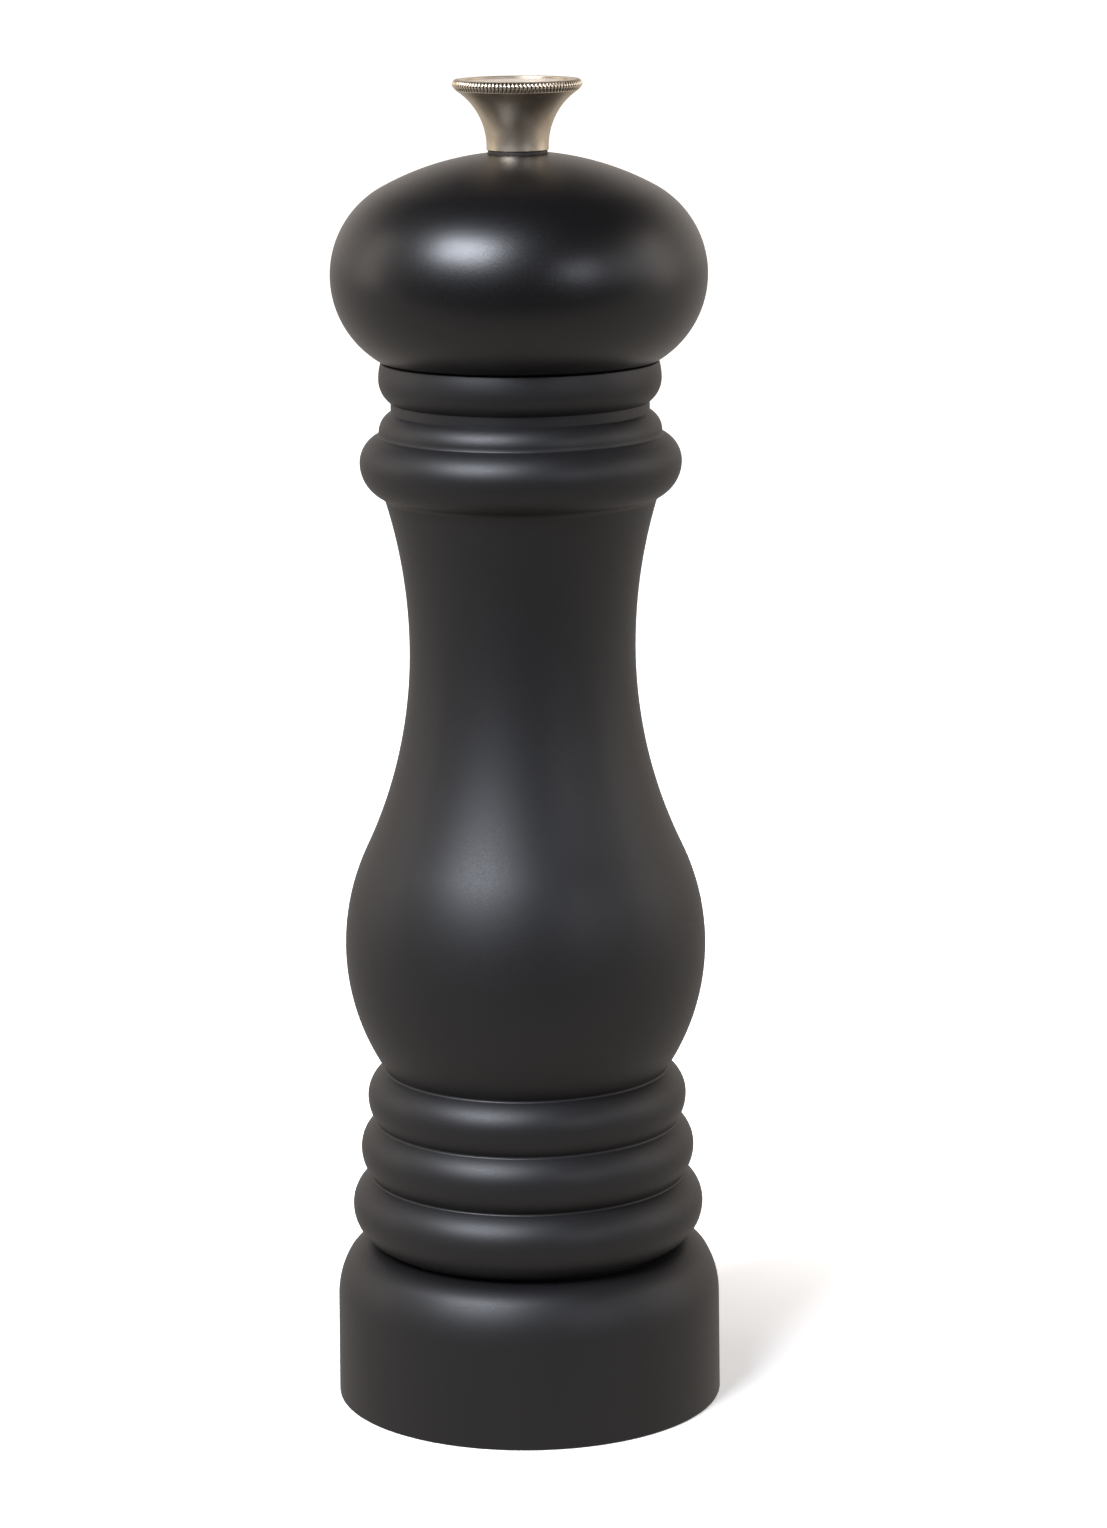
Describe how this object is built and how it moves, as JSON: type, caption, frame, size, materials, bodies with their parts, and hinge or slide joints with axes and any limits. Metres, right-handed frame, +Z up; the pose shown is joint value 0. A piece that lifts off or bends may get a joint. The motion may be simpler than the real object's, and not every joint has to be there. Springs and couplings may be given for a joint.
{
  "type": "pepper mill",
  "caption": "Tall black pepper mill with a turned-profile body, rounded head and flared metal knob; turning the head drives ceramic burrs in the base, the knob sets the grind.",
  "frame": {"origin": "middle of the base's underside, on the surface the mill stands on", "axes": "+Z up along the mill's axis, from base to knob; -Y towards the viewer"},
  "size_m": [0.0616, 0.0614, 0.21],
  "materials": {
    "black_abs": "silky matt, fine grain",
    "black_nylon": "matt, moulded",
    "white_acetal": "smooth, slightly waxy",
    "ceramic": "unglazed, sintered",
    "stainless_steel": "brushed",
    "zinc_plated_steel": "bright zinc",
    "spring_steel": "drawn wire",
    "satin_nickel": "satin nickel plate",
    "polished_nickel": "polished",
    "brass": "turned"
  },
  "bodies": {
    "mill_body": {"body_shell": "black_abs", "grinder_housing": "black_nylon", "bearing_sleeve": "white_acetal", "stator": "ceramic", "burr_clamp": "stainless_steel", "housing_screws": "zinc_plated_steel", "clamp_screws": "zinc_plated_steel"},
    "glide_ring": {"glide_ring": "white_acetal"},
    "head": {"head_shell": "black_abs", "head_plug": "black_abs", "drive_plate": "stainless_steel", "drive_plate_screws": "zinc_plated_steel"},
    "knob_washer": {"knob_washer": "stainless_steel"},
    "knob": {"knob": "satin_nickel", "knob_cap": "polished_nickel", "knob_insert": "brass"},
    "shaft_bush": {"shaft_bush": "white_acetal", "bush_clip": "spring_steel", "spring_seat": "zinc_plated_steel", "grinder_spring": "spring_steel"},
    "shaft": {"drive_shaft": "stainless_steel", "rotor": "ceramic", "rotor_carrier": "black_nylon", "rotor_washer": "zinc_plated_steel", "rotor_nut": "zinc_plated_steel"}
  },
  "joints": [
    {"name": "head_lift", "type": "slide", "parent": "mill_body", "child": "glide_ring", "axis": [0, 0, 1], "range_m": [0, 0.05]},
    {"name": "head_spin", "type": "hinge", "parent": "glide_ring", "child": "head", "pos_m": [0, 0, 0.1671], "axis": [0, 0, 1], "continuous": true},
    {"name": "knob_lift", "type": "slide", "parent": "head", "child": "knob_washer", "axis": [0, 0, 1], "range_m": [0, 0.012]},
    {"name": "knob_turn", "type": "hinge", "parent": "knob_washer", "child": "knob", "pos_m": [0, 0, 0.19925], "axis": [0, 0, 1], "range_deg": [-180, 540]},
    {"name": "bush_spin", "type": "hinge", "parent": "mill_body", "child": "shaft_bush", "pos_m": [0, 0, 0.0314], "axis": [0, 0, 1], "continuous": true},
    {"name": "shaft_lift", "type": "slide", "parent": "shaft_bush", "child": "shaft", "axis": [0, 0, 1], "range_m": [-0.0012, 0.0004], "deforming": ["grinder_spring"]}
  ],
  "couplings": [
    {"joint": "bush_spin", "follows": "head_spin", "ratio": 1},
    {"joint": "knob_turn", "follows": "shaft_lift", "rad_per_m": -7854}
  ]
}
